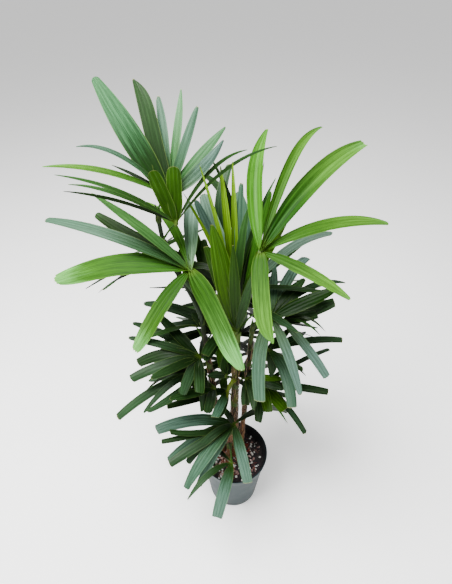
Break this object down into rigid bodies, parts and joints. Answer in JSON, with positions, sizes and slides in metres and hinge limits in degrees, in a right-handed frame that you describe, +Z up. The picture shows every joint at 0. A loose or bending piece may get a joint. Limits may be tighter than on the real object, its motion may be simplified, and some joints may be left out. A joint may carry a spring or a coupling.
{
  "type": "potted lady palm",
  "caption": "Potted lady palm: a clump of slender upright canes carrying fans of long ribbed leaflets, standing in a round tapered nursery pot.",
  "frame": {"origin": "centre of the pot's flat underside, on the floor", "axes": "+Z straight up out of the pot; -Y is the front, the side the plant is looked at from; +X is to the right of it. The tallest cane stands on the left, at -X"},
  "size_m": [0.8436, 0.7276, 1.4545],
  "materials": {
    "pot": "matte, faintly glossy moulded plastic",
    "potting_mix": "loose damp bark, peat and perlite",
    "cane": "green cane wrapped in brown woven fibre",
    "leaf_mature": "satin dark green leaf",
    "leaf_bright": "glossy mid green leaf",
    "leaf_young": "satin yellow-green leaf"
  },
  "bodies": {
    "root": {"pot": "pot", "potting_mix": "potting_mix", "left_cane": "cane", "centre_cane": "cane", "right_cane": "cane", "back_cane": "cane", "front_cane": "cane", "left_frond_1": "leaf_mature", "left_frond_2": "leaf_mature", "centre_frond_1": "leaf_bright", "centre_frond_2": "leaf_bright", "centre_frond_3": "leaf_young", "centre_frond_4": "leaf_mature", "centre_frond_5": "leaf_young", "right_frond_1": "leaf_mature", "right_frond_2": "leaf_mature", "right_frond_3": "leaf_mature", "right_frond_4": "leaf_mature", "right_frond_8": "leaf_mature", "left_frond_3": "leaf_mature", "left_frond_4": "leaf_mature", "centre_frond_6": "leaf_mature", "left_frond_5": "leaf_mature", "front_frond_1": "leaf_mature", "centre_frond_7": "leaf_mature", "centre_frond_10": "leaf_mature", "front_frond_2": "leaf_mature", "back_frond_1": "leaf_mature", "left_frond_10": "leaf_mature", "left_frond_6": "leaf_mature", "left_frond_7": "leaf_mature", "left_frond_8": "leaf_mature", "centre_frond_8": "leaf_mature", "centre_frond_9": "leaf_mature", "right_frond_5": "leaf_mature", "right_frond_6": "leaf_mature", "right_frond_7": "leaf_mature", "back_frond_2": "leaf_mature", "back_frond_3": "leaf_mature", "back_frond_4": "leaf_mature", "back_frond_5": "leaf_mature", "back_frond_6": "leaf_mature", "left_frond_9": "leaf_mature"}
  },
  "joints": []
}
